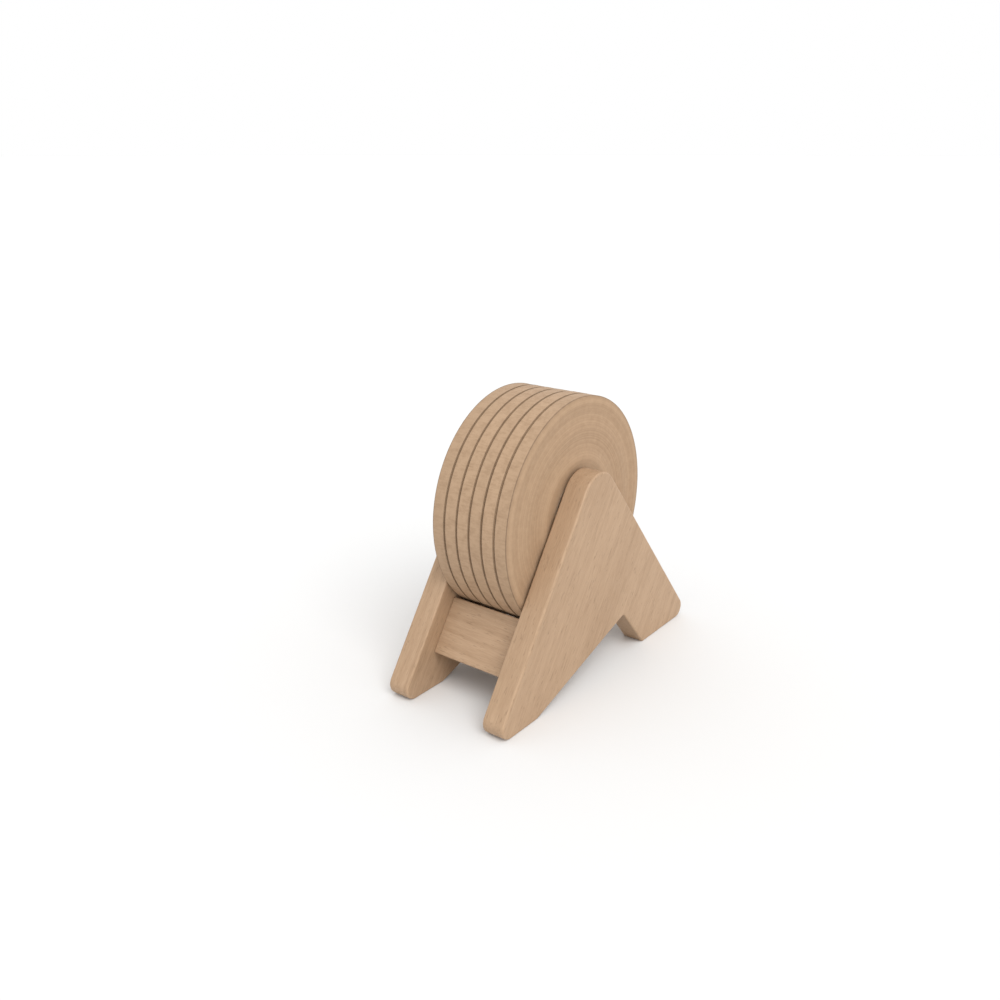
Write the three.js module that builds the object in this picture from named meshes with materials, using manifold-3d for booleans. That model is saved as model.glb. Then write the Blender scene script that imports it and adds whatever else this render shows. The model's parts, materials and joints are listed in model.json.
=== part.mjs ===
// A desk dispenser for six slim tapes. Two arrow-shaped cheeks stand on their feet, joined by a leaning tear
// bar. The tapes turn on a hub between the cheeks, and the hub's axle lifts out of open slots for refilling.
// Millimetres. +X is across the dispenser, +Y to its rear and +Z up. The origin is under its middle, on the
// table.
import * as THREE from 'three';
import { mergeVertices } from 'three/addons/utils/BufferGeometryUtils.js';
import Module from 'manifold-3d';

const wasm = await Module();
wasm.setup();

// Driving dimensions.
const WIDTH = 32; // over both cheeks
const BOARD = 5.5; // thickness of the cheeks' and the bar's board
const LENGTH = 77; // from the toe's rounding to the heel's

// The cheek's outline as (y, z) corners, from the sharp corner of the toe.
const APEX = [36.4, 54.3];
const TOE_REAR = 14.65; // end of the front foot
const NOTCH = [49.75, 11.3];
const HEEL_FRONT = 59.6; // start of the rear foot
const HEEL = 82.5;
const APEX_ROUND = 6.6;
const TOE_ROUND = 2.8;
const HEEL_ROUND = 2.6;
const NOTCH_ROUND = 1.2;
const FOOT_ROUND = 0.6;

// The reel.
const AXIS = [37.7, 39.25]; // the axle's (y, z), from the toe's sharp corner
const ROLL_COUNT = 6;
const REEL_WIDTH = 20;
const ROLL_GAP = 0.12; // between neighbouring rolls
const TAPE_RADIUS = 26.4;
const CORE_OUTER = 8.9;
const CORE_INNER = 7.6;
const WINDING_GAP = 0.05; // between a core and its tape
const HUB_RADIUS = 7.5;
const HUB_BORE = 3.08;
const HUB_LENGTH = 20.4;
const AXLE_RADIUS = 3;
const SLOT_WIDTH = 6.3;
const SLOT_DEPTH = 3;
const AXLE_END_GAP = 0.2;
const SLOT_REACH = 30; // from the axle to well past the rear edge

// The tear bar, measured along the cheeks' front edge from the toe and inward from that edge.
const BAR_INSET = 4.6;
const BAR_BOTTOM = 13.8;
const BAR_TOP = 27.05;
const PIN_RADIUS = 1;
const PIN_HOLE = 1.1;
const PIN_IN_CHEEK = 3.2;
const PIN_IN_BAR = 4;
const PIN_END_GAP = 0.2;
const PIN_HEIGHTS = [16.8, 22.3]; // along the lean
const PIN_SETBACK = 0.25; // behind the middle of the bar's thickness, clear of the kerf
const PIN_INSET = BAR_INSET + BOARD / 2 + PIN_SETBACK;

// The cutter blade.
const BLADE_THICK = 0.4;
const BLADE_INSET = 1.1; // behind the bar's front face
const BLADE_HEIGHT = 4; // below its teeth
const BLADE_SINK = 0.45; // from the bar's top down to the teeth's roots
const TOOTH_HEIGHT = 0.6;
const TOOTH_COUNT = 20;
const BLADE_LENGTH = 20.4;
const KERF_GAP = 0.1; // on every side of the blade

// Making.
const OVERRUN = 1; // how far a cutter runs out past the face that it opens
const MERGE_DISTANCE = 1e-5;
const ARC_STEPS = 8; // facets in a radian of a rounding
const WIDE_FACETS = 72;
const CORE_FACETS = 48;
const SMALL_FACETS = 24;

// Worked out from the dimensions above.
const INNER_FACE = WIDTH / 2 - BOARD;
const leanAngle = Math.atan2(APEX[1], APEX[0]); // of the front edge, from the table
const rearAngle = Math.atan2(APEX[1], HEEL - APEX[0]);
const toeFront = TOE_ROUND / Math.tan(leanAngle / 2) - TOE_ROUND;
const SHIFT_Y = -(toeFront + LENGTH / 2); // puts the origin under the middle
const rollPitch = REEL_WIDTH / ROLL_COUNT;

const COLOURS = {
  board: 0xc9a27a,
  bar: 0xc39b72,
  tape: 0xc8a987,
  core: 0xb08a62,
  dowel: 0xd9bb8e,
  steel: 0xb9bcc0,
};

function material(colour, roughness, metalness = 0) {
  return new THREE.MeshStandardMaterial({ color: colour, roughness, metalness });
}

// A mesh of one closed body, under the name of its piece.
function piece(name, geometry, colour, roughness = 0.7, metalness = 0) {
  const mesh = new THREE.Mesh(geometry, material(colour, roughness, metalness));
  mesh.name = name;
  return mesh;
}

// Solids for cutting and joining.
function toSolid(geometry) {
  const bare = geometry.clone();
  bare.deleteAttribute('normal');
  bare.deleteAttribute('uv');
  const merged = mergeVertices(bare, MERGE_DISTANCE);
  return new wasm.Manifold(new wasm.Mesh({
    numProp: 3,
    vertProperties: new Float32Array(merged.attributes.position.array),
    triVerts: new Uint32Array(merged.index.array),
  }));
}

function toGeometry(solid) {
  const mesh = solid.getMesh();
  const geometry = new THREE.BufferGeometry();
  geometry.setAttribute('position', new THREE.BufferAttribute(mesh.vertProperties, 3));
  geometry.setIndex(new THREE.BufferAttribute(mesh.triVerts, 1));
  return geometry;
}

function cut(geometry, cutters) {
  let solid = toSolid(geometry);
  for (const cutter of cutters) {
    solid = solid.subtract(toSolid(cutter));
  }
  return toGeometry(solid);
}

// Adds to a path the rounding of a corner that lies between two others.
function roundCorner(path, before, corner, after, radius) {
  const here = new THREE.Vector2(...corner);
  const toBefore = new THREE.Vector2(...before).sub(here).normalize();
  const toAfter = new THREE.Vector2(...after).sub(here).normalize();
  const half = Math.acos(toBefore.dot(toAfter)) / 2;
  const reach = radius / Math.tan(half);
  const bisector = toBefore.clone().add(toAfter).normalize();
  const centre = here.clone().addScaledVector(bisector, radius / Math.sin(half));
  const first = here.clone().addScaledVector(toBefore, reach).sub(centre);
  const last = here.clone().addScaledVector(toAfter, reach).sub(centre);
  const turn = Math.atan2(first.cross(last), first.dot(last));
  const steps = Math.max(2, Math.round(ARC_STEPS * Math.abs(turn)));
  for (let step = 0; step <= steps; step += 1) {
    const spoke = first.clone().rotateAround(new THREE.Vector2(), (turn * step) / steps);
    path.push(centre.clone().add(spoke));
  }
}

// A closed outline through rounded corners, given as [y, z, radius].
function roundedOutline(corners) {
  const path = [];
  corners.forEach((corner, index) => {
    const before = corners[(index + corners.length - 1) % corners.length];
    const after = corners[(index + 1) % corners.length];
    roundCorner(path, before.slice(0, 2), corner.slice(0, 2), after.slice(0, 2), corner[2]);
  });
  return path;
}

// Extrudes a (y, z) outline along X, from one x to another.
function alongX(outline, fromX, toX) {
  const shape = new THREE.Shape(outline);
  const geometry = new THREE.ExtrudeGeometry(shape, { depth: toX - fromX, bevelEnabled: false });
  const turn = new THREE.Matrix4().makeBasis(
    new THREE.Vector3(0, 1, 0),
    new THREE.Vector3(0, 0, 1),
    new THREE.Vector3(1, 0, 0),
  );
  return geometry.applyMatrix4(turn).translate(fromX, 0, 0);
}

// A rod along X about its own axis.
function rodX(radius, length, facets) {
  return new THREE.CylinderGeometry(radius, radius, length, facets).rotateZ(-Math.PI / 2);
}

// A ring along X, of a rectangular section, about its own axis.
function ringX(inner, outer, length, facets) {
  const half = length / 2;
  const section = [[inner, -half], [outer, -half], [outer, half], [inner, half], [inner, -half]];
  const profile = section.map(([radius, height]) => new THREE.Vector2(radius, height));
  return new THREE.LatheGeometry(profile, facets).rotateZ(-Math.PI / 2);
}

// The two leaning cheeks' frame: local Z runs up along their front edge, local Y inward from it.
function leaningGroup() {
  const group = new THREE.Group();
  group.position.set(0, SHIFT_Y, 0);
  group.rotation.x = leanAngle - Math.PI / 2;
  return group;
}

// The slot that takes an axle end: round about the axle, open through the rear edge.
function slotCutter(side) {
  const radius = SLOT_WIDTH / 2;
  const path = [];
  for (let step = 0; step <= SMALL_FACETS / 2; step += 1) {
    const angle = Math.PI / 2 + (Math.PI * step) / (SMALL_FACETS / 2);
    path.push(new THREE.Vector2(radius * Math.cos(angle), radius * Math.sin(angle)));
  }
  path.push(new THREE.Vector2(SLOT_REACH, -radius), new THREE.Vector2(SLOT_REACH, radius));
  const slant = Math.PI / 2 - rearAngle;
  const turned = path.map((point) => point.rotateAround(new THREE.Vector2(), slant));
  const bottom = side * (INNER_FACE + SLOT_DEPTH);
  const mouth = side * (INNER_FACE - OVERRUN);
  const geometry = alongX(turned, Math.min(bottom, mouth), Math.max(bottom, mouth));
  return geometry.translate(0, AXIS[0] + SHIFT_Y, AXIS[1]);
}

// A place in the leaning frame, as a point in the dispenser's own axes.
function leanPoint(x, inset, height) {
  const group = leaningGroup();
  group.updateMatrixWorld(true);
  return new THREE.Vector3(x, inset, height).applyMatrix4(group.matrixWorld);
}

function pinHoleCutter(side, height) {
  const length = PIN_IN_CHEEK + OVERRUN;
  const centreX = side * (INNER_FACE + PIN_IN_CHEEK - length / 2);
  const place = leanPoint(centreX, PIN_INSET, height);
  return rodX(PIN_HOLE, length, SMALL_FACETS).translate(place.x, place.y, place.z);
}

function cheek(name, side) {
  const outline = roundedOutline([
    [0, 0, TOE_ROUND],
    [TOE_REAR, 0, FOOT_ROUND],
    [...NOTCH, NOTCH_ROUND],
    [HEEL_FRONT, 0, FOOT_ROUND],
    [HEEL, 0, HEEL_ROUND],
    [...APEX, APEX_ROUND],
  ]);
  const inner = side * INNER_FACE;
  const outer = side * WIDTH / 2;
  const board = alongX(outline, Math.min(inner, outer), Math.max(inner, outer)).translate(0, SHIFT_Y, 0);
  const holes = PIN_HEIGHTS.map((height) => pinHoleCutter(side, height));
  return piece(name, cut(board, [slotCutter(side), ...holes]), COLOURS.board, 0.75);
}

// The bar, its kerf for the blade and its pin holes, in the leaning frame.
function tearBar() {
  const height = BAR_TOP - BAR_BOTTOM;
  const board = new THREE.BoxGeometry(2 * INNER_FACE, BOARD, height)
    .translate(0, BAR_INSET + BOARD / 2, BAR_BOTTOM + height / 2);
  const kerfWidth = BLADE_THICK + 2 * KERF_GAP;
  const kerfDepth = BLADE_SINK + BLADE_HEIGHT + KERF_GAP;
  const kerf = new THREE.BoxGeometry(2 * (INNER_FACE + OVERRUN), kerfWidth, kerfDepth + OVERRUN)
    .translate(0, BAR_INSET + BLADE_INSET + BLADE_THICK / 2, BAR_TOP + (OVERRUN - kerfDepth) / 2);
  const holes = [];
  for (const side of [-1, 1]) {
    for (const pinHeight of PIN_HEIGHTS) {
      const length = PIN_IN_BAR + OVERRUN;
      const centreX = side * (INNER_FACE - PIN_IN_BAR + length / 2);
      holes.push(rodX(PIN_HOLE, length, SMALL_FACETS).translate(centreX, PIN_INSET, pinHeight));
    }
  }
  return piece('tear_bar', cut(board, [kerf, ...holes]), COLOURS.bar, 0.75);
}

function barDowel(name, side, height) {
  const length = PIN_IN_BAR + PIN_IN_CHEEK - 2 * PIN_END_GAP;
  const dowel = piece(name, rodX(PIN_RADIUS, length, SMALL_FACETS), COLOURS.dowel, 0.6);
  const centreX = side * (INNER_FACE + (PIN_IN_CHEEK - PIN_IN_BAR) / 2);
  dowel.position.set(centreX, PIN_INSET, height);
  return dowel;
}

// A straight strip with a saw-tooth upper edge, in the leaning frame.
function cutterBlade() {
  const pitch = BLADE_LENGTH / TOOTH_COUNT;
  const shape = new THREE.Shape();
  shape.moveTo(-BLADE_LENGTH / 2, -BLADE_HEIGHT);
  shape.lineTo(BLADE_LENGTH / 2, -BLADE_HEIGHT);
  for (let tooth = TOOTH_COUNT; tooth > 0; tooth -= 1) {
    const right = -BLADE_LENGTH / 2 + tooth * pitch;
    shape.lineTo(right, 0);
    shape.lineTo(right - pitch / 2, TOOTH_HEIGHT);
  }
  shape.lineTo(-BLADE_LENGTH / 2, 0);
  const strip = new THREE.ExtrudeGeometry(shape, { depth: BLADE_THICK, bevelEnabled: false });
  strip.translate(0, 0, -BLADE_THICK / 2).rotateX(Math.PI / 2);
  const blade = piece('cutter_blade', strip, COLOURS.steel, 0.3, 1);
  blade.position.set(0, BAR_INSET + BLADE_INSET + BLADE_THICK / 2, BAR_TOP - BLADE_SINK);
  return blade;
}

function reel() {
  const group = new THREE.Group();
  group.position.set(0, AXIS[0] + SHIFT_Y, AXIS[1]);
  const axleLength = 2 * (INNER_FACE + SLOT_DEPTH - AXLE_END_GAP);
  group.add(piece('axle_dowel', rodX(AXLE_RADIUS, axleLength, SMALL_FACETS), COLOURS.dowel, 0.6));
  group.add(piece('hub', ringX(HUB_BORE, HUB_RADIUS, HUB_LENGTH, CORE_FACETS), COLOURS.dowel, 0.65));
  const rollWidth = rollPitch - ROLL_GAP;
  for (let index = 0; index < ROLL_COUNT; index += 1) {
    const x = (index - (ROLL_COUNT - 1) / 2) * rollPitch;
    const tube = ringX(CORE_INNER, CORE_OUTER, rollWidth, CORE_FACETS);
    const winding = ringX(CORE_OUTER + WINDING_GAP, TAPE_RADIUS, rollWidth, WIDE_FACETS);
    const core = piece(`roll_core_${index + 1}`, tube, COLOURS.core, 0.85);
    const tape = piece(`tape_roll_${index + 1}`, winding, COLOURS.tape);
    core.position.x = x;
    tape.position.x = x;
    group.add(core, tape);
  }
  return group;
}

const dispenser = new THREE.Group();
dispenser.add(cheek('left_cheek', -1), cheek('right_cheek', 1));

const leaning = leaningGroup();
leaning.add(tearBar(), cutterBlade());
PIN_HEIGHTS.forEach((height, index) => {
  leaning.add(barDowel(`bar_dowel_${2 * index + 1}`, -1, height));
  leaning.add(barDowel(`bar_dowel_${2 * index + 2}`, 1, height));
});
dispenser.add(leaning, reel());

export default dispenser;
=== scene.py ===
"""The looks of a small wooden desk dispenser for six slim paper tapes.

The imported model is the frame. Each piece is a surface worked out from a few settings, in metres, in the
frame's axes: +X across the dispenser, +Y to its rear and +Z up. The file is laid out as an add-on and run as
a script.
"""
import json
import math

import bmesh
import bpy
import numpy as np
from bpy.props import FloatProperty, FloatVectorProperty, IntProperty, PointerProperty
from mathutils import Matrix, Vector
from mathutils.geometry import tessellate_polygon


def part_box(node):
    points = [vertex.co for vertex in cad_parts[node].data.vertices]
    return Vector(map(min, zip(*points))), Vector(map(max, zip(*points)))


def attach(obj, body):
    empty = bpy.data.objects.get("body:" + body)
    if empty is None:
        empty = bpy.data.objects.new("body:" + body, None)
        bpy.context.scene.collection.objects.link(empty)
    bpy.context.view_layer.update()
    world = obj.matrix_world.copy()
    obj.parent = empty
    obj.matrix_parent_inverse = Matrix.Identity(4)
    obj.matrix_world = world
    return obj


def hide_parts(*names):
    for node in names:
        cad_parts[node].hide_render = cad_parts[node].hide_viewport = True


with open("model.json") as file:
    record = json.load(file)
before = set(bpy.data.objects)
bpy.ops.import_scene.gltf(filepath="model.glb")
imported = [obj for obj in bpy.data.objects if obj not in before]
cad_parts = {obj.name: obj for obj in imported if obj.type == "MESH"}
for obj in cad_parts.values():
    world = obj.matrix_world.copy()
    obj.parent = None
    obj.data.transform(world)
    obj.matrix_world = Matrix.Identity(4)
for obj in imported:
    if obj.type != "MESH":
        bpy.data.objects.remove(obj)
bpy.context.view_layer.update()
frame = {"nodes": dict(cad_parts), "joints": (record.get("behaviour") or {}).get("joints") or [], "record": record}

bl_info = {
    "name": "Desk Tape Dispenser",
    "version": (1, 0, 0),
    "blender": (4, 5, 0),
    "location": "View3D > Sidebar > Tape Dispenser",
    "description": "Makes a small wooden dispenser for six slim paper tapes",
    "category": "Add Mesh",
}

MM = 0.001
LEAST_ROUND = 0.00002  # a rounding that an inset would use up keeps this radius
ARRIS_MARGIN = 1.6  # flat rim of a cheek's cap beyond its arris, in arris radii
KERF_LIP = 0.00008  # rounding of the kerf's two upper edges
KERF_CORNER = 0.00005  # rounding in the kerf's floor
BAR_END_CHAMFER = 0.00012
BLADE_EDGE_SHARE = 0.15  # thickness left along the teeth, as a share of the strip's
CORE_ROUND = 0.00012
BORE_GAP = 0.0001  # between the hub and a core
WINDING_GAP = 0.00005  # between a core and its tape
RIM_GAP = 0.00001  # between a winding's face and the CAD roll's
FACE_MARGIN = 0.0001  # flat part of a winding's face starts this far in from its edge
WANDER_PERIOD = 0.0062  # the windings' sideways drift repeats after this much radius
FLANK_LEVELS = 72
FACE_COLUMNS = 12
ROLL_STEPS = 240
FIRST_END, NEXT_END = 70, 23  # angle of the first roll's tape end and the step to the next, in degrees
END_SEAM = 4e-5  # the angle left open between a winding's start and its end, in radians
CUT_FADE = 90  # how fast the cut's teeth fade out along the tape, per turn
LIFT_FADE = 110  # how fast the tape's end comes down onto the roll, per turn
CUT_SHARE = 0.9  # height of the cut's teeth, as a share of the blade's
CUT_SHIFT = 0.13  # how far the cut moves from one roll to the next, in teeth
BODY_OF = {
    node: body
    for body, members in frame["record"]["behaviour"]["bodies"].items()
    for node in members
}
AXIS_Y, AXIS_Z = next(j["pos_m"][1:] for j in frame["joints"] if j["name"] == "hub_spin")
ROLLS = sorted(name for name in frame["nodes"] if name.startswith("tape_roll_"))
CORES = sorted(name for name in frame["nodes"] if name.startswith("roll_core_"))
PEGS = sorted(name for name in frame["nodes"] if name.startswith("bar_dowel_"))


# Settings


def length(name, description, default):
    """A property that holds a length in metres."""
    return FloatProperty(name=name, description=description, default=default, unit="LENGTH", precision=5)


def place(name, description, default):
    """A property that holds two or three lengths in metres."""
    return FloatVectorProperty(
        name=name, description=description, default=default, size=len(default), unit="LENGTH", precision=5
    )


def colour(name, description, default):
    """A property that holds a linear colour."""
    return FloatVectorProperty(
        name=name, description=description, default=default, size=3, subtype="COLOR", min=0, max=1
    )


class BoardSettings(bpy.types.PropertyGroup):
    """The cheeks' outline, from the sharp corner of the toe, and how their board is finished."""

    toe_rear: length("Toe length", "Where the front foot ends", 0.01465)
    notch: place("Notch", "Top of the notch under the cheek: back and up", (0.04975, 0.0113))
    heel_front: length("Heel front", "Where the rear foot starts", 0.0596)
    heel: length("Heel", "Sharp corner of the heel", 0.0825)
    apex: place("Apex", "Sharp corner of the apex: back and up", (0.0364, 0.0543))
    toe_round: length("Toe rounding", "Radius of the toe", 0.0028)
    heel_round: length("Heel rounding", "Radius of the heel", 0.0026)
    apex_round: length("Apex rounding", "Radius of the apex", 0.0066)
    notch_round: length("Notch rounding", "Radius at the top of the notch", 0.0012)
    foot_round: length("Foot rounding", "Radius where a foot meets the notch", 0.0006)
    arris: length("Arris", "Radius that every long edge is sanded to", 0.00045)
    slot_width: length("Slot width", "Width of the slot for an axle end", 0.0063)
    slot_depth: length("Slot depth", "Depth of the slot into the cheek", 0.003)
    light: colour("Light wood", "The wood between the growth rings", (0.452, 0.302, 0.188))
    dark: colour("Dark wood", "The wood in the growth rings", (0.322, 0.2, 0.113))
    ring_width: length("Ring width", "Distance between growth rings", 0.0026)


class BarSettings(bpy.types.PropertyGroup):
    """The tear bar, measured up along the cheeks' front edge and inward from it."""

    inset: length("Inset", "How far the bar's face is behind the cheeks' front edge", 0.0046)
    bottom: length("Bottom", "Where the bar starts, up the lean", 0.0138)
    top: length("Top", "Where the bar ends, up the lean", 0.02705)
    arris: length("Arris", "Radius of the bar's long edges", 0.0004)
    blade_inset: length("Blade inset", "How far the blade is behind the bar's face", 0.0011)
    blade_sink: length("Blade sink", "From the bar's top down to the roots of the blade's teeth", 0.00045)
    kerf_gap: length("Kerf gap", "Room on each side of the blade", 0.0001)


class BladeSettings(bpy.types.PropertyGroup):
    """The toothed strip in the bar's upper edge."""

    thickness: length("Thickness", "Thickness of the strip", 0.0004)
    height: length("Height", "Height of the strip below its teeth", 0.004)
    length: length("Length", "Length of the strip", 0.0204)
    tooth: length("Tooth", "Height of a tooth", 0.0006)
    bevel: length("Bevel", "Height of the ground bevel below the teeth's roots", 0.0005)
    teeth: IntProperty(name="Teeth", description="Number of teeth along the strip", default=20, min=2)
    steel: colour("Steel", "Colour of the bare steel", (0.34, 0.335, 0.33))


class TapeSettings(bpy.types.PropertyGroup):
    """The six windings and the cores inside them."""

    thickness: length("Tape thickness", "Thickness of one turn", 0.00013)
    edge: length("Edge rounding", "Rounding where a winding's face meets its flank", 0.00007)
    wave: length("Flank relief", "How far the turns stand in and out on a flank", 0.00003)
    wander: length("Wander", "How far the turns drift sideways, to and fro, on their way out", 0.00012)
    lean: length("Rim lean", "How far each flank leans in at the rim", 0.00013)
    lean_depth: length("Rim lean depth", "How far in from the rim a flank starts to lean", 0.0014)
    # Painted shade: the flank is darkened near its rim, inside the gaps between the rolls; partly dust on the
    # glue, partly painted shade that stands in for the shade in the gaps.
    dust_and_shade_depth: length("Dust depth", "How far in from the rim dust darkens a flank's glue", 0.0004)
    lift: length("End lift", "How far the tape's end stands off the roll", 0.00016)
    unevenness: length("Unevenness", "How far the fullest and the thinnest roll differ", 0.00005)
    face: colour("Paper", "Colour of the tape's face", (0.44, 0.294, 0.182))
    fibre: colour("Fibre", "Colour of the fibres in the paper", (0.275, 0.168, 0.094))
    flank: colour("Flank", "Colour of the stacked turns seen from the side", (0.468, 0.311, 0.19))
    core: colour("Core board", "Colour of the wound core", (0.30, 0.205, 0.135))


class ReelSettings(bpy.types.PropertyGroup):
    """The axle and the hub that the rolls turn on."""

    hub_bore: length("Hub bore", "Radius of the hole through the hub", 0.00308)
    chamfer: length("Chamfer", "Chamfer on the ends of the axle and the hub", 0.0004)
    light: colour("Light wood", "The dowels' wood between the rings", (0.55, 0.40, 0.255))
    dark: colour("Dark wood", "The dowels' wood in the rings", (0.42, 0.28, 0.16))


class StageSettings(bpy.types.PropertyGroup):
    """The camera, the sun and the pale floor."""

    azimuth: FloatProperty(name="Azimuth", description="Where the camera stands round the dispenser",
                           default=math.radians(37.6), subtype="ANGLE", unit="ROTATION")
    elevation: FloatProperty(name="Elevation", description="Height of the camera above the horizon",
                             default=math.radians(19.7), subtype="ANGLE", unit="ROTATION")
    distance: length("Distance", "From the camera to the point that it looks at", 0.2149)
    aim: place("Aim", "The point that the camera looks at", (0.0, -0.01872, 0.04449))
    lens: FloatProperty(name="Lens", description="Focal length in millimetres", default=36.0, min=1.0)
    floor: colour("Floor", "Colour of the floor", (0.76, 0.76, 0.757))
    radius: length("Floor radius", "How far the floor runs in every direction", 9.0)
    sun: FloatVectorProperty(name="Sun", description="The direction that the sun stands in",
                             default=(0.62, -0.34, 0.80), size=3, subtype="DIRECTION")
    sun_strength: FloatProperty(name="Sun strength", description="Strength of the sun", default=1.5, min=0)
    sun_angle: FloatProperty(name="Sun angle", description="How wide the sun is, which softens its shadows",
                             default=math.radians(38), subtype="ANGLE", unit="ROTATION")


class DispenserSettings(bpy.types.PropertyGroup):
    """Every setting of the dispenser."""

    board: PointerProperty(type=BoardSettings)
    bar: PointerProperty(type=BarSettings)
    blade: PointerProperty(type=BladeSettings)
    tape: PointerProperty(type=TapeSettings)
    reel: PointerProperty(type=ReelSettings)
    stage: PointerProperty(type=StageSettings)


# Surfaces


def rounded_path(corners, inset=0.0, step=math.radians(9)):
    """One array of points for each corner of a closed outline that runs anticlockwise.

    A corner is an arc about a centre on its bisector, tangent to both of its edges. Moving the outline in by
    the inset shortens the arc's radius at an outward corner and lengthens it at a hollow one, about the same
    centre, so paths with different insets match point for point. An outward corner that the inset would use
    up keeps a least radius, about a centre further in.
    """
    rows = np.array(corners, float)
    corner, radius = rows[:, :2], rows[:, 2]
    back = np.roll(corner, 1, 0) - corner
    ahead = np.roll(corner, -1, 0) - corner
    back /= np.linalg.norm(back, axis=1)[:, None]
    ahead /= np.linalg.norm(ahead, axis=1)[:, None]
    half = np.arccos(np.clip((back * ahead).sum(1), -1, 1)) / 2
    hollow = ahead[:, 0] * back[:, 1] - ahead[:, 1] * back[:, 0] < 0
    radius = np.where(hollow, radius, np.maximum(radius, inset + LEAST_ROUND))
    bisector = (back + ahead) / np.linalg.norm(back + ahead, axis=1)[:, None]
    centre = corner + bisector * (radius / np.sin(half))[:, None]
    first = corner + back * (radius / np.tan(half))[:, None] - centre
    last = corner + ahead * (radius / np.tan(half))[:, None] - centre
    start = np.arctan2(first[:, 1], first[:, 0])
    sweep = (np.arctan2(last[:, 1], last[:, 0]) - start + math.pi) % (2 * math.pi) - math.pi
    reach = radius + np.where(hollow, inset, -inset)
    arcs = []
    for number in range(len(rows)):
        turns = np.linspace(0, 1, max(3, 1 + int(np.ceil(abs(sweep[number]) / step))))
        angle = start[number] + sweep[number] * turns
        spoke = np.stack([np.cos(angle), np.sin(angle)], axis=1)
        arcs.append(centre[number] + reach[number] * spoke)
    return arcs


def grid_faces(rows, columns, close_rows=False, close_columns=False):
    """The corner numbers of a grid's quads, with its last row or column joined to the first where asked."""
    row = np.arange(rows if close_rows else rows - 1)[:, None]
    column = np.arange(columns if close_columns else columns - 1)[None, :]
    below, right = (row + 1) % rows, (column + 1) % columns
    quads = [row * columns + column, row * columns + right, below * columns + right, below * columns + column]
    return np.stack([np.broadcast_to(q, (row.size, column.size)) for q in quads], axis=2).reshape(-1, 4)


def end_caps(outline_pairs, rows):
    """Triangles that fill a grid's first and last rows, each given as a closed path of flat (u, v) points."""
    first, last = outline_pairs
    starts = (0, (rows - 1) * len(first))
    caps = []
    for path, start in zip((first, last), starts):
        flat = [Vector((u, v, 0)) for u, v in np.asarray(path) / MM]
        caps += (start + np.array(tessellate_polygon([flat]))).tolist()
    return caps


def build_mesh(name, points, faces, caps=(), attributes=None, sharp=math.radians(35)):
    """A closed mesh with outward faces, from a grid's points, its quads, its end caps and its attributes."""
    mesh = bpy.data.meshes.new(name)
    mesh.from_pydata(points.reshape(-1, 3).tolist(), [], faces.tolist() + list(caps))
    for label, values in (attributes or {}).items():
        layer = mesh.attributes.new(label, "FLOAT", "POINT")
        layer.data.foreach_set("value", np.ascontiguousarray(values, np.float32).ravel())
    work = bmesh.new()
    work.from_mesh(mesh)
    bmesh.ops.remove_doubles(work, verts=work.verts, dist=2e-7)
    bmesh.ops.dissolve_degenerate(work, edges=work.edges, dist=1e-8)
    bmesh.ops.recalc_face_normals(work, faces=work.faces)
    work.to_mesh(mesh)
    work.free()
    mesh.shade_smooth()
    mesh.set_sharp_from_angle(angle=sharp)
    return mesh


def spin(profile, steps):
    """Carries a profile of (x, radius) points round the reel's axis: each becomes a circle in Y and Z."""
    angle = np.linspace(0, 2 * math.pi, steps, endpoint=False)[:, None]
    x = np.broadcast_to(profile[:, 0], (steps, len(profile)))
    radius = profile[:, 1][None, :]
    return np.stack([x, AXIS_Y + radius * np.sin(angle), AXIS_Z + radius * np.cos(angle)], axis=2)


def lean_frame(board):
    """The front edge's direction and inward normal in (y, z), and the y of the toe's sharp corner."""
    along = np.array(board.apex[:]) / np.linalg.norm(board.apex[:])
    inward = np.array([along[1], -along[0]])
    half = math.atan2(along[1], along[0]) / 2
    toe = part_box("right_cheek")[0].y - (board.toe_round / math.tan(half) - board.toe_round)
    return along, inward, toe


def on_lean(board, x, inset, height):
    """Points at x, inset behind the cheeks' front edge and height up along it."""
    along, inward, toe = lean_frame(board)
    y = toe + along[0] * height + inward[0] * inset
    z = along[1] * height + inward[1] * inset
    return np.stack(np.broadcast_arrays(x, y, z), axis=-1)


def new_piece(name, mesh, material, node, even_flats=False):
    """Links a finished mesh with its material as the piece that stands for a CAD node, on that node's body, and
    hides the node.
    """
    piece = bpy.data.objects.new(name, mesh)
    mesh.materials.append(material)
    bpy.context.scene.collection.objects.link(piece)
    if even_flats:
        normals = piece.modifiers.new("even_flats", "WEIGHTED_NORMAL")
        normals.weight = 100
        normals.keep_sharp = True
    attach(piece, BODY_OF[node])
    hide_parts(node)
    return piece


# Shader maths


class Signal:
    """An output socket of a material, on which Python's arithmetic adds Math nodes."""

    def __init__(self, shader, socket):
        self.shader = shader
        self.socket = socket

    def math(self, operation, *values):
        return self.shader.node("ShaderNodeMath", {"operation": operation}, dict(enumerate(values)))

    def __add__(self, other):
        return self.math("ADD", self, other)

    def __radd__(self, other):
        return self.math("ADD", other, self)

    def __sub__(self, other):
        return self.math("SUBTRACT", self, other)

    def __rsub__(self, other):
        return self.math("SUBTRACT", other, self)

    def __mul__(self, other):
        return self.math("MULTIPLY", self, other)

    def __rmul__(self, other):
        return self.math("MULTIPLY", other, self)

    def __truediv__(self, other):
        return self.math("DIVIDE", self, other)

    def __pow__(self, other):
        return self.math("POWER", self, other)

    def fraction(self):
        """The part after the decimal point."""
        return self.math("FRACT", self)

    def between(self, low, high):
        """0 below low, 1 above high and a smooth step between them."""
        return self.shader.node(
            "ShaderNodeMapRange",
            {"interpolation_type": "SMOOTHSTEP"},
            {"Value": self, "From Min": low, "From Max": high},
        )


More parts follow.
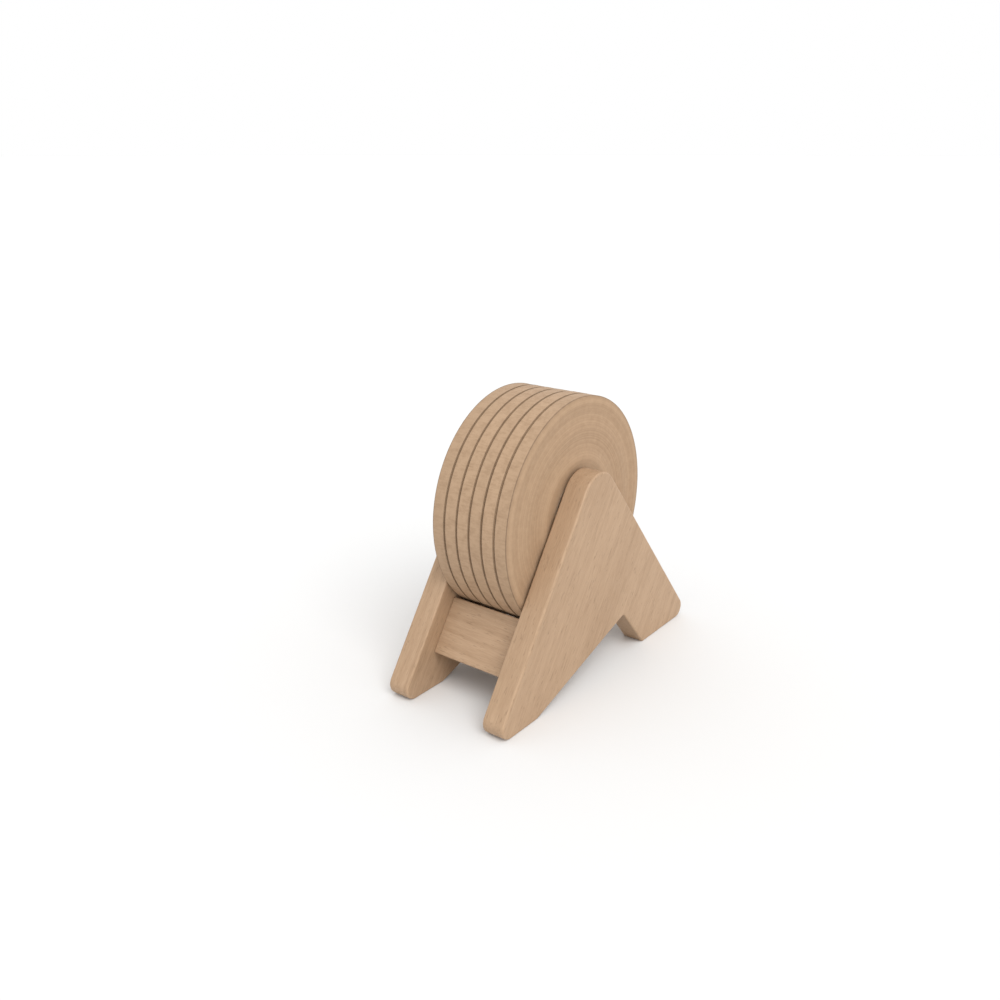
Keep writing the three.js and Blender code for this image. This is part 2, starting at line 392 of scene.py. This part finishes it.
class Shader:
    """A material with one Principled shader, and the ways to add nodes to it."""

    def __init__(self, name):
        self.material = bpy.data.materials.new(name)
        self.material.use_nodes = True
        self.tree = self.material.node_tree
        self.surface = self.tree.nodes["Principled BSDF"]

    def node(self, kind, settings=None, inputs=None, output=0):
        """Adds a node: its settings, then its inputs as values or links. Returns one of its outputs."""
        node = self.tree.nodes.new(kind)
        for key, value in (settings or {}).items():
            setattr(node, key, value)
        for key, value in (inputs or {}).items():
            self.feed(node.inputs[key], value)
        return Signal(self, node.outputs[output])

    def feed(self, socket, value):
        """Links a signal to a socket, or sets the socket's own value."""
        if isinstance(value, Signal):
            self.tree.links.new(value.socket, socket)
        else:
            socket.default_value = value

    def finish(self, **inputs):
        """Feeds the Principled shader, with a socket's name written with _ for a space."""
        for key, value in inputs.items():
            self.feed(self.surface.inputs[key.replace("_", " ")], value)
        return self.material

    def millimetres(self, shift=(0, 0, 0), turn=(0, 0, 0)):
        """The surface point in the frame's axes, in millimetres, shifted in metres and then turned."""
        point = self.node("ShaderNodeTexCoord", output="Object")
        moved = self.node("ShaderNodeMapping", None, {"Vector": point, "Location": [-s for s in shift]})
        return self.node(
            "ShaderNodeMapping", None, {"Vector": moved, "Rotation": turn, "Scale": (1 / MM,) * 3}
        )

    def axes(self, vector):
        """The three numbers of a vector."""
        split = self.tree.nodes.new("ShaderNodeSeparateXYZ")
        self.tree.links.new(vector.socket, split.inputs[0])
        return [Signal(self, socket) for socket in split.outputs]

    def noise(self, vector, scale, stretch=(1, 1, 1), detail=2.0, roughness=0.5):
        """Smooth noise about 0.5, of a scale in cycles a millimetre, stretched along each axis."""
        drawn = self.node(
            "ShaderNodeVectorMath", {"operation": "MULTIPLY"}, {0: vector, 1: [scale * s for s in stretch]}
        )
        return self.node("ShaderNodeTexNoise", None, {
            "Vector": drawn, "Scale": 1.0, "Detail": detail, "Roughness": roughness,
        })

    def attribute(self, name):
        """A number that the mesh holds at each point."""
        return self.node("ShaderNodeAttribute", {"attribute_name": name}, output="Fac")

    def mix(self, factor, first, second, way="MIX"):
        """Two colours mixed by a factor."""
        first, second = (c if isinstance(c, Signal) else (*c, 1.0) for c in (first, second))
        return self.node(
            "ShaderNodeMix",
            {"data_type": "RGBA", "blend_type": way, "clamp_factor": True},
            {0: factor, 6: first, 7: second},
            output=2,
        )

    def bump(self, height, distance, strength=1.0):
        """A normal that leans with a height between 0 and 1, over a depth in metres."""
        return self.node(
            "ShaderNodeBump", None, {"Height": height, "Distance": distance, "Strength": strength}
        )


# Materials


def wood(name, light, dark, ring_width, pith, turn, worn=False):
    """Pale close-grained wood.

    Growth rings are shells round a pith that lies off the piece, bent by slow noise. Fibres and short flecks
    are noise drawn out along the grain, which runs along the turned Z axis.
    """
    shader = Shader(name)
    point = shader.millimetres(turn=turn)
    across, through, _ = shader.axes(point)
    bend = shader.noise(point, 0.05, (1, 1, 0.3), detail=2.0)
    near, far = across - pith[0], through - pith[1]
    radius = (near * near + far * far) ** 0.5 + bend * 6.0
    ring = (radius * (MM / ring_width)).fraction()
    late = ring.between(0.25, 0.92) * (1 - ring.between(0.92, 1.0))
    weight = shader.noise(point, 0.11, (1, 1, 0.2)).between(0.3, 0.75)
    fibre = shader.noise(point, 4.5, (1, 1, 0.07), detail=3.0, roughness=0.6)
    streak = shader.noise(point, 1.1, (1, 1, 0.05), detail=2.0)
    fleck = shader.noise(point, 3.4, (1, 1, 0.16), detail=1.0).between(0.64, 0.74)
    cloud = shader.noise(point, 0.08, (1, 1, 0.6), detail=3.0)
    grain = (fibre - 0.5) * 1.3 + (streak - 0.5) * 0.9 + (cloud - 0.5) * 0.7
    depth = 0.26 + late * (0.08 + 0.2 * weight) + grain
    base = shader.mix(depth, light, dark)
    base = shader.mix(fleck * 0.45, base, [c * 0.62 for c in dark])
    if worn:
        polish = shader.attribute("worn") * shader.noise(point, 0.5, detail=3.0).between(0.35, 0.65)
        base = shader.mix(polish * 0.3, base, [min(1, c * 1.2) for c in light])
    relief = fibre * 0.7 + late * 0.15 - fleck * 0.5
    return shader.finish(
        Base_Color=base,
        Roughness=0.55 + (fibre - 0.5) * 0.25 + fleck * 0.1,
        IOR=1.45,
        Normal=shader.bump(relief, 0.00003, 0.8),
    )


def creped_paper(tape):
    """Thin kraft paper tape: fine wrinkles across the tape's face, and turns seen as rings on its flanks."""
    shader = Shader("creped_paper")
    point = shader.millimetres(shift=(0, AXIS_Y, AXIS_Z))
    x, y, z = shader.axes(point)
    radius = (y * y + z * z) ** 0.5
    flank = shader.attribute("flank")
    tone = shader.attribute("tone")
    wrinkle = shader.noise(point, 2.4, (0.2, 1, 1), detail=3.0, roughness=0.6)
    pulp = shader.noise(point, 0.6, (1, 1, 1), detail=5.0, roughness=0.65)
    strand = shader.noise(point, 2.2, (1, 0.45, 0.45), detail=2.0).between(0.58, 0.72)
    speck = shader.noise(point, 2.9, (1, 1, 1), detail=1.0).between(0.72, 0.8)
    stack = shader.node("ShaderNodeCombineXYZ", None, {0: radius * 4.2, 1: tone * 7.0, 2: x * 0.1})
    turns = shader.node(
        "ShaderNodeTexNoise", None, {"Vector": stack, "Scale": 1.0, "Detail": 4.0, "Roughness": 0.7}
    )
    broad = shader.node("ShaderNodeCombineXYZ", None, {0: radius * 0.55, 1: tone * 3.0, 2: x * 0.02})
    bands = shader.node("ShaderNodeTexNoise", None, {"Vector": broad, "Scale": 1.0, "Detail": 2.0})
    face = shader.mix((wrinkle - 0.5) * 1.3 + (pulp - 0.5) * 1.5 + 0.16, tape.face, tape.fibre)
    face = shader.mix(strand * 0.2, face, tape.fibre)
    face = shader.mix(speck * 0.5, face, [c * 0.6 for c in tape.fibre])
    ringed = (turns - 0.5) * 1.5 + (bands - 0.5) * 0.8 + (pulp - 0.5) * 0.8 + 0.22
    side = shader.mix(ringed, tape.flank, tape.fibre)
    base = shader.mix(flank, face, side)
    base = shader.mix((tone - 0.5) * 0.28 + 0.14, base, [c * 0.72 for c in tape.face])
    # Dust on the glue and painted shade: darkens each roll's flanks near the rim and its rounded edges, so the
    # gaps between the rolls show as dark lines.
    dust_and_gap_shade = shader.attribute("dust_and_gap_shade") * (0.45 + pulp * 0.35)
    base = shader.mix(dust_and_gap_shade, base, [c * 0.35 for c in tape.fibre])
    height = wrinkle * (1 - flank) + turns * flank
    return shader.finish(
        Base_Color=base,
        Roughness=0.62 + (pulp - 0.5) * 0.2 + flank * 0.08,
        IOR=1.42,
        Normal=shader.bump(height, 0.00005, 0.9),
    )


def wound_board(tape):
    """Grey-brown core board, wound in three plies that show as rings on its ends."""
    shader = Shader("wound_board")
    point = shader.millimetres(shift=(0, AXIS_Y, AXIS_Z))
    _, y, z = shader.axes(point)
    radius = (y * y + z * z) ** 0.5
    ply = (radius * 2.3).fraction()
    seam = 1 - ply.between(0.0, 0.12)
    pulp = shader.noise(point, 1.6, detail=4.0, roughness=0.65)
    base = shader.mix((pulp - 0.5) * 1.2 + 0.35, tape.core, [c * 0.6 for c in tape.core])
    base = shader.mix(seam * 0.5, base, [c * 0.4 for c in tape.core])
    return shader.finish(
        Base_Color=base, Roughness=0.85 + (pulp - 0.5) * 0.1, Normal=shader.bump(pulp, 0.00005, 0.8)
    )


def ground_steel(blade):
    """Bare strip steel, brushed along its length, with a few faint spots of old glue."""
    shader = Shader("ground_steel")
    point = shader.millimetres()
    brush = shader.noise(point, 14.0, (0.03, 1, 1), detail=3.0, roughness=0.6)
    smear = shader.noise(point, 0.8, detail=3.0).between(0.58, 0.75)
    base = shader.mix(smear * 0.35, blade.steel, [c * 0.55 for c in blade.steel])
    return shader.finish(
        Base_Color=base,
        Metallic=1 - smear * 0.25,
        Roughness=0.33 + brush * 0.16 + smear * 0.2,
        Normal=shader.bump(brush, 0.000012, 0.6),
    )


def studio_paper(stage):
    """The plain matt paper of the floor."""
    shader = Shader("studio_paper")
    tooth = shader.noise(shader.millimetres(), 0.02, detail=2.0)
    pale, grey = ([c * share for c in stage.floor] for share in (1.01, 0.99))
    base = shader.mix((tooth - 0.5) * 0.04 + 0.5, pale, grey)
    return shader.finish(Base_Color=base, Roughness=0.9, Specular_IOR_Level=0.1)


def settings(context):
    """The scene's dispenser settings."""
    return context.scene.tape_dispenser


# Pieces


def slot_path(board, inset, is_open):
    """The path across a slot's mouth in (y, z), from the heel's side to the apex's.

    Open, it goes down one wall, half round the axle and up the other wall. Shut, it runs straight across the
    mouth with as many points.
    """
    _, _, toe = lean_frame(board)
    apex = np.array(board.apex[:]) + (toe, 0)
    up = apex - (toe + board.heel, 0)
    up /= np.linalg.norm(up)
    outward = np.array([up[1], -up[0]])
    axis = np.array([AXIS_Y, AXIS_Z])
    mouth = (apex - axis) @ outward - inset
    wall = board.slot_width / 2
    angle = np.linspace(math.pi, 2 * math.pi, 25)
    round_end = wall * np.stack([np.cos(angle), np.sin(angle)], axis=1)
    path = np.concatenate([[(-wall, mouth)], round_end, [(wall, mouth)]])
    if not is_open:
        path = np.stack([np.linspace(-wall, wall, len(path)), np.full(len(path), mouth)], axis=1)
    return axis + path[:, :1] * up + path[:, 1:] * outward


def cheek_ring(board, inset, is_open):
    """The cheek's outline in (y, z), moved in by the inset, with the slot in its rear edge open or shut."""
    _, _, toe = lean_frame(board)
    corners = [
        (toe, 0, board.toe_round),
        (toe + board.toe_rear, 0, board.foot_round),
        (toe + board.notch[0], board.notch[1], board.notch_round),
        (toe + board.heel_front, 0, board.foot_round),
        (toe + board.heel, 0, board.heel_round),
        (toe + board.apex[0], board.apex[1], board.apex_round),
    ]
    arcs = rounded_path(corners, inset)
    return np.concatenate([*arcs[:5], slot_path(board, inset, is_open), arcs[5]])


def cheek_mesh(board, node):
    """A cheek: its outline carried through the board's thickness.

    Each row is the outline at one depth: the depth, the inset, whether the slot is open, and how worn the
    edge is. The arrises are quarter rounds in depth and inset. At the slot's floor the row with the open slot
    meets the row with the slot shut, and the outer rows keep it shut.
    """
    low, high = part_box(node)
    inner, outer = (low.x, high.x) if low.x > 0 else (high.x, low.x)
    thickness = abs(outer - inner)
    rim = board.arris + ARRIS_MARGIN * board.arris
    arris = [
        (board.arris * (1 - math.cos(turn)), board.arris * (1 - math.sin(turn)), math.sin(2 * turn) ** 0.5)
        for turn in np.linspace(0, math.pi / 2, 5)
    ]
    rows = [(0, rim, True, 0)]
    rows += [(depth, inset, True, worn) for depth, inset, worn in arris]
    rows += [(rim, 0, True, 0), (board.slot_depth, 0, True, 0), (board.slot_depth, 0, False, 0)]
    rows += [(thickness - rim, 0, False, 0)]
    rows += [(thickness - depth, inset, False, worn) for depth, inset, worn in reversed(arris)]
    rows += [(thickness, rim, False, 0)]
    rings = [cheek_ring(board, inset, is_open) for _, inset, is_open, _ in rows]
    x = inner + np.sign(outer - inner) * np.array([row[0] for row in rows])
    count = len(rings[0])
    points = np.concatenate(
        [np.broadcast_to(x[:, None, None], (len(rows), count, 1)), np.stack(rings)], axis=2
    )
    worn = np.repeat([row[3] for row in rows], count)
    faces = grid_faces(len(rows), count, close_columns=True)
    caps = end_caps((rings[0], rings[-1]), len(rows))
    return build_mesh(node + "_board", points, faces, caps, {"worn": worn})


def bar_mesh(board, bar, blade):
    """The tear bar: a board's section with rounded arrises and a kerf in its top, carried along X."""
    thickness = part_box("right_cheek")[1].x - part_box("right_cheek")[0].x
    kerf_front = bar.inset + bar.blade_inset - bar.kerf_gap
    kerf_back = kerf_front + blade.thickness + 2 * bar.kerf_gap
    kerf_floor = bar.top - bar.blade_sink - blade.height - bar.kerf_gap
    back = bar.inset + thickness
    section = [
        (bar.inset, bar.bottom, bar.arris),
        (back, bar.bottom, bar.arris),
        (back, bar.top, bar.arris),
        (kerf_back, bar.top, KERF_LIP),
        (kerf_back, kerf_floor, KERF_CORNER),
        (kerf_front, kerf_floor, KERF_CORNER),
        (kerf_front, bar.top, KERF_LIP),
        (bar.inset, bar.top, bar.arris),
    ]
    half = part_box("tear_bar")[1].x
    square = half - BAR_END_CHAMFER
    stations = [(-half, BAR_END_CHAMFER), (-square, 0), (square, 0), (half, BAR_END_CHAMFER)]
    arcs = [rounded_path(section, inset, math.radians(15)) for _, inset in stations]
    rings = [np.concatenate(parts) for parts in arcs]
    points = np.stack([on_lean(board, x, *ring.T) for (x, _), ring in zip(stations, rings)])
    count = points.shape[1]
    rub = np.concatenate([np.sin(np.linspace(0, math.pi, len(part))) ** 0.5 for part in arcs[0]])
    worn = np.broadcast_to(rub, points.shape[:2])
    faces = grid_faces(len(rings), count, close_columns=True)
    caps = end_caps((rings[0], rings[-1]), len(rings))
    return build_mesh("tear_bar_board", points, faces, caps, {"worn": worn})


def blade_mesh(board, bar, blade):
    """The cutter: a section carried along X whose upper edge rises and falls as a triangle wave.

    The front face is ground back from below the teeth's roots to a thin edge along the teeth.
    """
    steps = 4 * blade.teeth
    share = np.linspace(0, 1, steps + 1)
    x = (share - 0.5) * blade.length
    wave = 1 - np.abs(2 * ((share * blade.teeth) % 1) - 1)
    tip = blade.tooth * wave
    edge = BLADE_EDGE_SHARE * blade.thickness
    zero, full = np.zeros_like(x), np.full_like(x, blade.thickness)
    bevel = np.full_like(x, -blade.bevel)
    foot = np.full_like(x, -blade.height)
    depth = np.stack([zero, zero, full - edge, full, full], axis=1)
    height = np.stack([foot, bevel, tip, tip, foot], axis=1)
    front = bar.inset + bar.blade_inset
    points = on_lean(board, x[:, None], front + depth, bar.top - bar.blade_sink + height)
    faces = grid_faces(len(x), points.shape[1], close_columns=True)
    ends = [np.stack([depth[row], height[row]], axis=1) for row in (0, -1)]
    caps = end_caps(ends, len(x))
    return build_mesh("cutter_blade_strip", points, faces, caps, sharp=math.radians(12))


def ring_profile(low_x, high_x, inner, outer, rounding):
    """A ring's section in (x, radius): a rectangle with rounded corners."""
    corners = [(low_x, inner), (high_x, inner), (high_x, outer), (low_x, outer)]
    return np.concatenate(rounded_path([(*c, rounding) for c in corners], step=math.radians(30)))


def ring_mesh(name, node, inner, outer, rounding, steps):
    """A ring on the reel's axis, as wide as its CAD node."""
    low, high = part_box(node)
    profile = ring_profile(low.x, high.x, inner, outer, rounding)
    points = spin(profile, steps)
    return build_mesh(name, points, grid_faces(steps, len(profile), True, True))


def rod_mesh(name, node, chamfer, steps):
    """A rod on the reel's axis with chamfered ends, closed at a pole on each end face."""
    low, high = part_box(node)
    radius = (high.z - low.z) / 2
    half_end = [(low.x, 0), (low.x, radius - chamfer), (low.x + chamfer, radius)]
    profile = np.array(half_end + [(-x, r) for x, r in reversed(half_end)])
    points = spin(profile, steps)
    return build_mesh(name, points, grid_faces(steps, len(profile), close_rows=True))


def roll_mesh(tape, blade, node, number):
    """One winding: a section of flank, rounded edge, face, rounded edge and flank, carried round the axis.

    The face's radius falls by one tape thickness over a turn and steps back up where the tape ends, and the
    end stands a little off the roll. It is cut to the blade's teeth: near it, each point's angle is moved by
    a triangle wave of its x. Each flank is pressed in by a seeded noise of the radius, and leans in at the
    rim. Both drift sideways by a sine of the radius, the same for every roll, so that no straight line of
    sight passes between two rolls.
    """
    seeded = np.random.default_rng(40 + number)
    low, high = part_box(node)
    middle, half = (low.x + high.x) / 2, (high.x - low.x) / 2
    outer = (high.z - low.z) / 2 - RIM_GAP - tape.unevenness * seeded.random()
    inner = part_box(CORES[number])[1].z - AXIS_Z + WINDING_GAP
    levels = np.linspace(inner, outer - tape.edge, FLANK_LEVELS)
    depth = outer - levels
    relief = np.convolve(seeded.random(len(levels) + 2), [0.25, 0.5, 0.25], mode="valid") * tape.wave
    relief += tape.lean * np.clip(1 - depth / tape.lean_depth, 0, 1)
    drift = tape.wander * np.sin(depth / WANDER_PERIOD * 2 * math.pi)
    bend = np.linspace(0, math.pi / 2, 4)[1:]
    edge_x = half - relief[-1] - tape.edge * (1 - np.cos(bend))
    edge_r = outer - tape.edge * (1 - np.sin(bend))
    flat = edge_x[-1] - FACE_MARGIN
    face_x = np.linspace(flat, -flat, FACE_COLUMNS)
    x = np.concatenate([
        half - relief + drift, edge_x, face_x, -edge_x[::-1], (relief - half + drift)[::-1],
    ])
    r = np.concatenate([levels, edge_r, np.full(len(face_x), outer), edge_r[::-1], levels[::-1]])
    on_face = np.concatenate([
        np.zeros(len(levels)), np.linspace(0.4, 1, 3), np.ones(len(face_x)),
        np.linspace(1, 0.4, 3), np.zeros(len(levels)),
    ])
    # Dust and painted shade: 1 on the rounded edges, fading in from the rim on the flanks, 0 on the face; it
    # darkens the gaps between the rolls.
    rim_dust_and_shade = np.clip(1 - depth / tape.dust_and_shade_depth, 0, 1)
    dust_and_gap_shade = np.concatenate([rim_dust_and_shade, np.ones(3), np.zeros(len(face_x)), np.ones(3), rim_dust_and_shade[::-1]])
    turn = np.linspace(0, 1, ROLL_STEPS)[:, None]
    fade = np.exp(-turn * CUT_FADE) + np.exp((turn - 1) * CUT_FADE)
    pitch = blade.length / blade.teeth
    saw = np.abs(2 * (((x + middle) / pitch + CUT_SHIFT * number) % 1) - 1) * blade.tooth * CUT_SHARE
    end = math.radians(FIRST_END + NEXT_END * number)
    shrink = tape.thickness * turn * on_face
    angle = end + turn * (2 * math.pi - END_SEAM) + fade * saw * on_face / outer
    radius = r - shrink + tape.lift * np.exp(-turn * LIFT_FADE) * on_face
    points = np.stack([
        np.broadcast_to(middle + x, radius.shape),
        AXIS_Y + radius * np.sin(angle),
        AXIS_Z + radius * np.cos(angle),
    ], axis=2)
    attributes = {
        "flank": np.broadcast_to(1 - on_face, points.shape[:2]),
        "tone": np.full(points.shape[:2], seeded.random()),
        "dust_and_gap_shade": np.broadcast_to(dust_and_gap_shade, points.shape[:2]),
    }
    faces = grid_faces(ROLL_STEPS, len(x), True, True)
    return build_mesh(node + "_winding", points, faces, attributes=attributes)


# Operators


class MakeCheeks(bpy.types.Operator):
    """Make both cheeks from their board"""

    bl_idname = "tape_dispenser.make_cheeks"
    bl_label = "Cheeks"

    def execute(self, context):
        board = settings(context).board
        along_lean = (math.atan2(board.apex[0], board.apex[1]), 0.0, 0.0)
        for node, pith in (("left_cheek", (34.0, -26.0)), ("right_cheek", (-41.0, -19.0))):
            material = wood(
                node + "_wood", board.light, board.dark, board.ring_width, pith, along_lean, worn=True
            )
            new_piece(node + "_board", cheek_mesh(board, node), material, node, even_flats=True)
        return {"FINISHED"}


class MakeTearBar(bpy.types.Operator):
    """Make the leaning bar between the cheeks, with the kerf for its blade"""

    bl_idname = "tape_dispenser.make_tear_bar"
    bl_label = "Tear bar"

    def execute(self, context):
        options = settings(context)
        board = options.board
        along_x = (0.0, math.radians(88), 0.0)
        material = wood(
            "tear_bar_wood", board.light, board.dark, board.ring_width, (30.0, 22.0), along_x, worn=True
        )
        mesh = bar_mesh(board, options.bar, options.blade)
        new_piece("tear_bar_board", mesh, material, "tear_bar", even_flats=True)
        return {"FINISHED"}


class MakeBlade(bpy.types.Operator):
    """Make the toothed cutter blade"""

    bl_idname = "tape_dispenser.make_blade"
    bl_label = "Cutter blade"

    def execute(self, context):
        options = settings(context)
        mesh = blade_mesh(options.board, options.bar, options.blade)
        new_piece("cutter_blade_strip", mesh, ground_steel(options.blade), "cutter_blade")
        return {"FINISHED"}


class MakeAxle(bpy.types.Operator):
    """Make the axle and the hub, and give the hidden bar dowels their wood"""

    bl_idname = "tape_dispenser.make_axle"
    bl_label = "Axle, hub and dowels"

    def execute(self, context):
        options = settings(context)
        reel = options.reel
        along_x = (0.0, math.radians(90), 0.0)
        material = wood(
            "dowel_wood", reel.light, reel.dark, options.board.ring_width * 0.6, (14.0, -9.0), along_x
        )
        new_piece("axle_rod", rod_mesh("axle_rod", "axle_dowel", reel.chamfer, 64), material, "axle_dowel")
        hub_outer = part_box("hub")[1].z - AXIS_Z
        sleeve = ring_mesh("hub_sleeve", "hub", reel.hub_bore, hub_outer, reel.chamfer, 96)
        new_piece("hub_sleeve", sleeve, material, "hub")
        for node in PEGS:
            frame["nodes"][node].material_slots[0].material = material
        return {"FINISHED"}


class MakeCores(bpy.types.Operator):
    """Make the six wound cores"""

    bl_idname = "tape_dispenser.make_cores"
    bl_label = "Roll cores"

    def execute(self, context):
        tape = settings(context).tape
        material = wound_board(tape)
        for node in CORES:
            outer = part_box(node)[1].z - AXIS_Z
            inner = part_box("hub")[1].z - AXIS_Z + BORE_GAP
            mesh = ring_mesh(node + "_tube", node, inner, outer, CORE_ROUND, 96)
            new_piece(node + "_tube", mesh, material, node)
        return {"FINISHED"}


class MakeRolls(bpy.types.Operator):
    """Make the six tape windings"""

    bl_idname = "tape_dispenser.make_rolls"
    bl_label = "Tape rolls"

    def execute(self, context):
        options = settings(context)
        material = creped_paper(options.tape)
        for number, node in enumerate(ROLLS):
            mesh = roll_mesh(options.tape, options.blade, node, number)
            new_piece(node + "_winding", mesh, material, node)
        return {"FINISHED"}


class MakeStage(bpy.types.Operator):
    """Make the pale floor, the soft sun, the white surround and the camera"""

    bl_idname = "tape_dispenser.make_stage"
    bl_label = "Stage"

    def execute(self, context):
        stage = settings(context).stage
        self.make_floor(stage)
        self.make_camera(context, stage)
        self.make_sun(context, stage)
        self.make_world(context)
        return {"FINISHED"}

    def make_floor(self, stage):
        """A flat disc: rings of points at growing radii about the origin, closed at its middle."""
        steps = 96
        radius = np.array([0.0, 0.02, 0.2, 1.0]) * stage.radius
        angle = np.linspace(0, 2 * math.pi, steps, endpoint=False)[:, None]
        level = np.zeros((steps, len(radius)))
        points = np.stack([radius * np.sin(angle), radius * np.cos(angle), level], axis=2)
        mesh = build_mesh("floor", points, grid_faces(steps, len(radius), close_rows=True))
        floor = bpy.data.objects.new("floor", mesh)
        mesh.materials.append(studio_paper(stage))
        bpy.context.scene.collection.objects.link(floor)

    def make_camera(self, context, stage):
        """The camera stands at its azimuth and elevation round the point that it looks at."""
        flat = math.cos(stage.elevation)
        back = Vector((
            math.sin(stage.azimuth) * flat, -math.cos(stage.azimuth) * flat, math.sin(stage.elevation)
        ))
        data = bpy.data.cameras.new("camera")
        data.lens = stage.lens
        data.clip_start, data.clip_end = 0.01, 30
        camera = bpy.data.objects.new("camera", data)
        camera.location = Vector(stage.aim) + back * stage.distance
        camera.rotation_euler = (-back).to_track_quat("-Z", "Y").to_euler()
        context.scene.collection.objects.link(camera)
        context.scene.camera = camera

    def make_sun(self, context, stage):
        """A far light that comes from a direction, and is as soft as the angle that it fills."""
        data = bpy.data.lights.new("key", "SUN")
        data.energy, data.angle = stage.sun_strength, stage.sun_angle
        light = bpy.data.objects.new("key", data)
        light.rotation_euler = (-Vector(stage.sun)).to_track_quat("-Z", "Y").to_euler()
        context.scene.collection.objects.link(light)

    def make_world(self, context):
        """An even white surround, and plain colour management."""
        world = bpy.data.worlds.new("surround")
        world.use_nodes = True
        world.node_tree.nodes["Background"].inputs["Color"].default_value = (1, 1, 1, 1)
        world.node_tree.nodes["Background"].inputs["Strength"].default_value = 1.0
        context.scene.world = world
        context.scene.view_settings.view_transform = "Standard"


class DispenserPanel(bpy.types.Panel):
    """Lists the dispenser's pieces in the order in which they are made"""

    bl_idname = "VIEW3D_PT_tape_dispenser"
    bl_label = "Tape Dispenser"
    bl_space_type = "VIEW_3D"
    bl_region_type = "UI"
    bl_category = "Tape Dispenser"

    def draw(self, context):
        for operator in OPERATORS:
            self.layout.operator(operator.bl_idname)


GROUPS = (
    BoardSettings, BarSettings, BladeSettings, TapeSettings, ReelSettings, StageSettings, DispenserSettings,
)
OPERATORS = (MakeStage, MakeCheeks, MakeTearBar, MakeBlade, MakeAxle, MakeCores, MakeRolls)


def register():
    for item in (*GROUPS, *OPERATORS, DispenserPanel):
        bpy.utils.register_class(item)
    bpy.types.Scene.tape_dispenser = PointerProperty(type=DispenserSettings)


def unregister():
    del bpy.types.Scene.tape_dispenser
    for item in reversed((*GROUPS, *OPERATORS, DispenserPanel)):
        bpy.utils.unregister_class(item)


def main():
    """Makes every piece."""
    register()
    for operator in OPERATORS:
        group, name = operator.bl_idname.split(".")
        getattr(getattr(bpy.ops, group), name)()


if __name__ == "__main__":
    main()
